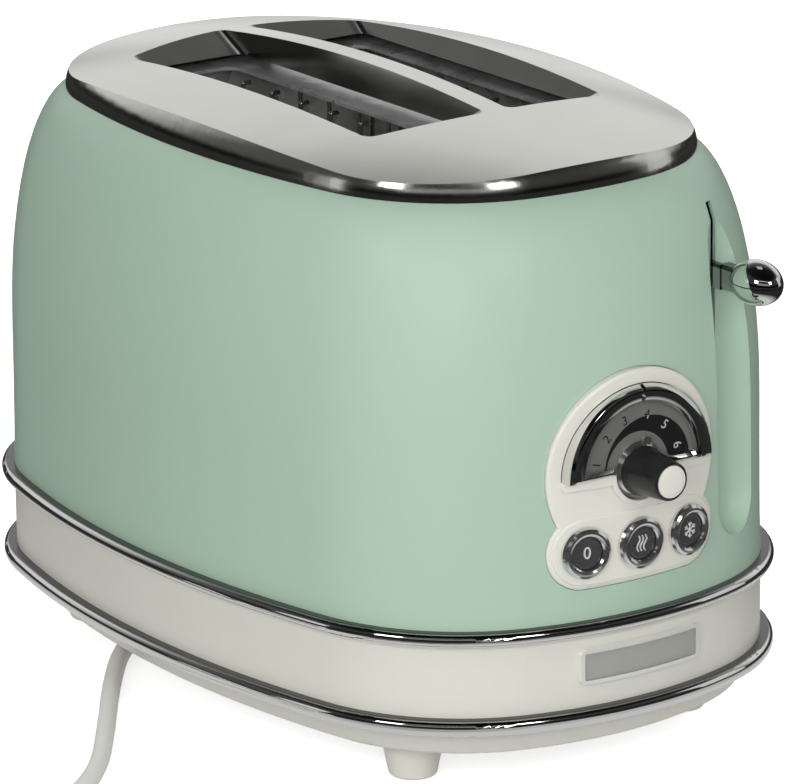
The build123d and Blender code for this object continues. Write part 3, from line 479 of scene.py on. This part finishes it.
FINISHES = {
    mint_enamel: ["body_shell"],
    cream_plastic: ["bottom_pan", "foot_front_right", "foot_front_left", "foot_rear_right",
                    "foot_rear_left", "base_band", "tray_front"],
    panel_plastic: ["control_panel", "knob_cap"],
    polished_chrome: ["guide_rod"],
    arm_chrome: ["lever_arm"],
    frame_chrome: ["dial_frame"],
    plated_plastic: ["pointer_skirt", "button_bezels"],
    knob_chrome: ["lever_knob"],
    ring_chrome: ["lower_ring", "upper_ring"],
    badge_silver: ["badge_plate"],
    top_steel: ["top_plate"],
    galvanised_sheet: ["crumb_tray", "end_plate_right", "end_plate_left", "side_panel_front",
                       "side_panel_rear", "inner_frame", "bread_rack_front", "bread_rack_rear",
                       "carriage", "heat_shield"],
    drawn_wire: ["bread_guide_front_inner", "bread_guide_front_outer", "bread_guide_rear_inner",
                 "bread_guide_rear_outer", "return_spring", "base_screws"],
    dark_steel: ["armature", "magnet_core"],
    black_plastic: ["dial_knob", "potentiometer", "push_switches", "dial_shaft"],
    grey_cap: ["stop_button", "reheat_button", "defrost_button"],
    white_flex: ["cord_gland", "plug"],
    sheet_mica: ["heater_board_front", "heater_board_centre", "heater_board_rear"],
    oxidised_ribbon: ["heater_ribbon_front", "heater_ribbon_centre", "heater_ribbon_rear"],
    copper_winding: ["magnet_coil"],
    circuit_board: ["control_board"],
    nickel_pin: ["plug_pins"],
}

# ---------------------------------------------------------------- dial
DIAL_CENTRE = Vector(JOINTS["dial_turn"]["pos_m"])
# Turn from the top towards +Y and radius of each number
NUMBER_PLACES = [(-76, 17.0), (-45.5, 17.2), (-17, 17.7), (12.5, 18.1), (40.5, 17.0), (72.5, 17.0)]
NUMBER_HEIGHT = 4.6
RING_OUTER = 12.6
CRESCENT_RADIUS = 17.3
CRESCENT_OFFSET = 4.0


def inside_crescent(tree):
    """1 inside the dark crescent of the browning scale, from the dial's own place."""
    crescent_y = DIAL_CENTRE.y + CRESCENT_OFFSET * MM
    within = calculate(tree, "LESS_THAN", distance_from(tree, crescent_y, DIAL_CENTRE.z),
                       CRESCENT_RADIUS * MM)
    beyond = calculate(tree, "GREATER_THAN", distance_from(tree, DIAL_CENTRE.y, DIAL_CENTRE.z),
                       RING_OUTER * MM)
    return calculate(tree, "MULTIPLY", within, beyond)


def scale_print():
    """Satin metal scale with its printed crescent."""
    material, tree, shader = new_material("scale_print")
    inside = inside_crescent(tree)
    tree.links.new(ramp(tree, inside, [(0.0, (0.30, 0.30, 0.285)), (1.0, (0.012, 0.012, 0.012))]),
                   shader.inputs["Base Color"])
    tree.links.new(calculate(tree, "SUBTRACT", 0.45, calculate(tree, "MULTIPLY", inside, 0.45)),
                   shader.inputs["Metallic"])
    tree.links.new(calculate(tree, "ADD", 0.3, calculate(tree, "MULTIPLY", inside, 0.15)),
                   shader.inputs["Roughness"])
    return material


def number_print():
    """Ink of the numbers: dark on the metal, light on the crescent."""
    material, tree, shader = new_material("number_print")
    shader.inputs["Roughness"].default_value = 0.5
    tree.links.new(ramp(tree, inside_crescent(tree), [(0.0, 0.01), (1.0, 0.55)]), shader.inputs["Base Color"])
    return material


def light_print():
    return mottled("light_print", (0.62, 0.62, 0.60), 0.45, depth=0.02, patch=300)


FACING_X = Matrix(((0, 0, 1, 0), (1, 0, 0, 0), (0, 1, 0, 0), (0, 0, 0, 1)))


def settle(piece, place, material, body):
    """Move a finished mesh to its place inside its own mesh, and dress it."""
    piece.data.transform(place)
    piece.matrix_world = Matrix.Identity(4)
    dress(piece, material)
    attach(piece, body)


def lettering(name, text, size, depth=0.03):
    """One printed sign as a thin mesh, centred on its own origin."""
    bpy.ops.object.select_all(action="DESELECT")
    bpy.ops.object.text_add()
    sign = bpy.context.active_object
    sign.name = name
    sign.data.body = text
    sign.data.size = size * MM
    sign.data.extrude = depth * MM
    sign.data.align_x = "CENTER"
    sign.data.align_y = "CENTER"
    bpy.ops.object.convert(target="MESH")
    return sign


def make_numbers(material):
    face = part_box("dial_scale")[1].x
    for number, (angle, radius) in enumerate(NUMBER_PLACES, 1):
        place = Matrix.Translation((face, DIAL_CENTRE.y, DIAL_CENTRE.z)) @ FACING_X
        place = place @ Matrix.Rotation(-radians(angle), 4, "Z")
        place = place @ Matrix.Translation((0, radius * MM, 0))
        settle(lettering(f"dial_number_{number}", str(number), NUMBER_HEIGHT), place, material,
               "housing")


# ---------------------------------------------------------------- button signs
# The caps stand round the axis of the toaster's curved end, at this height and pitch
END_CENTRE_X = 10.5
BUTTON_FACE_R = 133.05
BUTTON_PITCH = 20.9
BUTTON_Z = 83.1
CAP_FACE = 1.0
ZERO_HEIGHT = 5.8
ZERO_DEPTH = 0.35
SIGN_REACH = 2.7
WAVE_COLUMNS = (-1.35, 0, 1.35)
WAVE_SWING = 0.62
WAVE_STEPS = 16
WAVE_WIDTH = 0.62
FLAKE_WIDTH = 0.5
# Where a twig of the snowflake leaves its arm, and its tip along and beside the arm
TWIG_START = 1.5
TWIG_TIP = (2.25, 0.75)


def button_place(index):
    """Matrix from a cap's own face, its z outwards, to the toaster."""
    turn = asin(BUTTON_PITCH * index / BUTTON_FACE_R)
    reach = BUTTON_FACE_R + CAP_FACE
    place = Vector((END_CENTRE_X + reach * cos(turn), reach * sin(turn), BUTTON_Z)) * MM
    return Matrix.Translation(place) @ Matrix.Rotation(turn, 4, "Z") @ FACING_X


def sign_curve(name, lines, width):
    """Thin raised lines along lists of points in the plane of a cap, as one mesh."""
    curve = bpy.data.curves.new(name, "CURVE")
    curve.dimensions = "3D"
    curve.bevel_depth = width * MM / 2
    curve.bevel_resolution = 2
    curve.use_fill_caps = True
    for points in lines:
        spline = curve.splines.new("POLY")
        spline.points.add(len(points) - 1)
        for point, (x, y) in zip(spline.points, points):
            point.co = (x * MM, y * MM, 0, 1)
    sign = bpy.data.objects.new(name, curve)
    bpy.context.scene.collection.objects.link(sign)
    bpy.ops.object.select_all(action="DESELECT")
    sign.select_set(True)
    bpy.context.view_layer.objects.active = sign
    bpy.ops.object.convert(target="MESH")
    return bpy.context.active_object


def wave_lines():
    """Three upright waves, from the top down."""
    lines = []
    for column in WAVE_COLUMNS:
        line = []
        for step in range(WAVE_STEPS + 1):
            swing = WAVE_SWING * sin(2 * pi * step / WAVE_STEPS)
            line.append((column + swing, SIGN_REACH * (1 - 2 * step / WAVE_STEPS)))
        lines.append(line)
    return lines


def snowflake_lines():
    """Six arms from the middle, each with two twigs."""
    lines = []
    for spoke in range(6):
        turn = spoke * pi / 3 + pi / 6
        along = Vector((cos(turn), sin(turn)))
        side = Vector((-along.y, along.x))
        lines.append([(0, 0), tuple(along * SIGN_REACH)])
        for way in (-1, 1):
            tip = along * TWIG_TIP[0] + side * TWIG_TIP[1] * way
            lines.append([tuple(along * TWIG_START), tuple(tip)])
    return lines


def make_button_signs(material):
    zero = lettering("stop_sign", "0", ZERO_HEIGHT, ZERO_DEPTH)
    waves = sign_curve("reheat_sign", wave_lines(), WAVE_WIDTH)
    snowflake = sign_curve("defrost_sign", snowflake_lines(), FLAKE_WIDTH)
    settle(zero, button_place(-1), material, "stop_key")
    settle(waves, button_place(0), material, "reheat_key")
    settle(snowflake, button_place(1), material, "defrost_key")


# ---------------------------------------------------------------- studio
FLOOR_RADIUS = 9
# Paleness of the floor to the eye and as it lights the toaster, and its own glow to the eye
FLOOR_PALE = 0.95
FLOOR_BOUNCE = 0.68
FLOOR_GLOW = 0.66
# Brightness of the floor in reflections, by its distance in metres from the middle of the toaster
TABLE_STOPS = [(0.155, 0.62), (0.235, 0.02)]
TABLE_STRETCH = (0.78, 1, 1)
# The same for a lane of floor behind the toaster, by the distance straight away from the camera
BEHIND_STOPS = [(0.30, 0.0), (0.70, 0.60)]
LANE_SLOPE = 5.0
# Brightness of the surroundings, from straight towards the camera to straight away from it
WORLD_STOPS = [(0.0, 0.025), (0.35, 0.04), (0.66, 0.09), (0.80, 0.68), (1.0, 0.78)]
# Share of it that is kept, from the horizon to straight up, and the bright lane near the horizon
WORLD_HEIGHT_STOPS = [(0.10, 0.03), (0.21, 1.0), (0.54, 1.0), (0.72, 0.14), (1.0, 0.10)]
WORLD_LANE_STOPS = [(0.984, 0.0), (0.994, 1.0)]
LIGHT_AIM_HEIGHT = 0.1
# Name, turn from the camera's side, elevation, distance, size, power, mirrored
LIGHTS = [
    ("key", -6, 18, 2.6, (1.5, 1.2), 37, False),
    ("top_front", 6, 60, 2.2, (0.7, 0.7), 6, False),
    ("side_left", -72, 20, 2.4, (1.4, 1.2), 4, False),
    ("side_right", 50, 22, 2.4, (1.4, 1.2), 4, False),
    ("back_left", -160, 32, 2.4, (1.4, 1.2), 13, False),
    ("back_right", 155, 32, 2.4, (1.4, 1.2), 13, False),
    ("overhead", 180, 74, 2.0, (0.5, 0.5), 0.35, True),
    ("lamp_left", -40, 27, 2.2, (0.50, 0.50), 4.0, True),
    ("lamp_right", 32, 27, 2.2, (0.50, 0.50), 4.0, True),
    ("strip", -6, 37, 2.2, (2.2, 0.09), 0.45, True),
    ("front_glow", -4, 19, 2.5, (2.8, 0.45), 1.0, True),
    ("card_left", -78, 4, 2.0, (0.4, 1.0), 0.8, True),
    ("card_right", 98, 12, 2.0, (0.8, 1.4), 2.0, True),
]


def away_from_camera(tree, place):
    """How far a place or a direction lies on the side away from the camera."""
    facing = radians(CAMERA_AZIMUTH)
    x_share = calculate(tree, "MULTIPLY", place["X"], -sin(facing))
    y_share = calculate(tree, "MULTIPLY", place["Y"], cos(facing))
    return calculate(tree, "ADD", x_share, y_share)


def beside_camera_line(tree, place):
    """How far a place lies to either side of the camera's line."""
    facing = radians(CAMERA_AZIMUTH)
    x_share = calculate(tree, "MULTIPLY", place["X"], cos(facing))
    y_share = calculate(tree, "MULTIPLY", place["Y"], sin(facing))
    return calculate(tree, "ABSOLUTE", calculate(tree, "ADD", x_share, y_share))


def floor_reflection(tree):
    """Brightness of the floor where the toaster mirrors it: the table round it and a lane behind."""
    distance = tree.nodes.new("ShaderNodeVectorMath")
    distance.operation = "LENGTH"
    tree.links.new(place_texture(tree, TABLE_STRETCH), distance.inputs[0])
    place = axes(tree, place_texture(tree))
    aside = calculate(tree, "MULTIPLY", beside_camera_line(tree, place), LANE_SLOPE)
    lane = calculate(tree, "SUBTRACT", away_from_camera(tree, place), aside)
    return calculate(tree, "ADD", ramp(tree, distance.outputs["Value"], TABLE_STOPS),
                     ramp(tree, lane, BEHIND_STOPS))


def make_floor():
    """Pale floor: white to the eye, mid grey as it lights the part, in reflections bright near it only."""
    bpy.ops.object.select_all(action="DESELECT")
    bpy.ops.mesh.primitive_circle_add(vertices=96, radius=FLOOR_RADIUS, fill_type="NGON",
                                      location=(0, 0, 0))
    floor = bpy.context.active_object
    floor.name = "floor"
    material, tree, shader = new_material("floor")
    shader.inputs["Roughness"].default_value = 0.9
    shader.inputs["Specular IOR Level"].default_value = 0.1
    shader.inputs["Emission Color"].default_value = (1, 1, 1, 1)
    path = tree.nodes.new("ShaderNodeLightPath")
    seen = path.outputs["Is Camera Ray"]
    mirrored = path.outputs["Is Glossy Ray"]
    bounced = calculate(tree, "SUBTRACT", FLOOR_BOUNCE, calculate(tree, "MULTIPLY", mirrored, FLOOR_BOUNCE))
    paler = calculate(tree, "MULTIPLY", seen, FLOOR_PALE - FLOOR_BOUNCE)
    tree.links.new(calculate(tree, "ADD", bounced, paler), shader.inputs["Base Color"])
    glow = calculate(tree, "ADD", calculate(tree, "MULTIPLY", seen, FLOOR_GLOW),
                     calculate(tree, "MULTIPLY", mirrored, floor_reflection(tree)))
    tree.links.new(glow, shader.inputs["Emission Strength"])
    floor.data.materials.append(material)


def make_light(name, azimuth, elevation, distance, size, power, mirrored):
    """One softbox aimed at the toaster; unmirrored, it lights but shows in no reflection."""
    data = bpy.data.lights.new(name, "AREA")
    data.shape = "RECTANGLE"
    data.size, data.size_y = size
    data.energy = power
    light = bpy.data.objects.new(name, data)
    light.visible_glossy = mirrored
    bpy.context.scene.collection.objects.link(light)
    turn, raised = radians(azimuth), radians(elevation)
    out = Vector((sin(turn) * cos(raised), -cos(turn) * cos(raised), sin(raised)))
    light.location = out * distance + Vector((0, 0, LIGHT_AIM_HEIGHT))
    light.rotation_euler = out.to_track_quat("Z", "Y").to_euler()


def make_world():
    """Surroundings: pale and bright behind the toaster, dark overhead and on the near side."""
    world = bpy.data.worlds.new("studio")
    bpy.context.scene.world = world
    world.use_nodes = True
    tree = world.node_tree
    background = tree.nodes["Background"]
    source = tree.nodes.new("ShaderNodeTexCoord")
    direction = axes(tree, source.outputs["Generated"])
    away = away_from_camera(tree, direction)
    half = calculate(tree, "MULTIPLY", calculate(tree, "ADD", away, 1.0), 0.5)
    kept = ramp(tree, direction["Z"], WORLD_HEIGHT_STOPS)
    kept = calculate(tree, "MAXIMUM", kept, ramp(tree, half, WORLD_LANE_STOPS))
    brightness = calculate(tree, "MULTIPLY", ramp(tree, half, WORLD_STOPS), kept)
    tree.links.new(brightness, background.inputs["Color"])
    background.inputs["Strength"].default_value = 1.0


def main():
    make_camera()
    make_cord()
    for finish, nodes in FINISHES.items():
        material = finish()
        for node in nodes:
            dress(NODES[node], material)
    dress(NODES["dial_scale"], scale_print())
    make_numbers(number_print())
    make_button_signs(light_print())
    make_floor()
    make_world()
    for name, turn, elevation, distance, size, power, mirrored in LIGHTS:
        make_light(name, CAMERA_AZIMUTH + turn, elevation, distance, size, power, mirrored)
    bpy.context.scene.view_settings.view_transform = "Standard"


main()
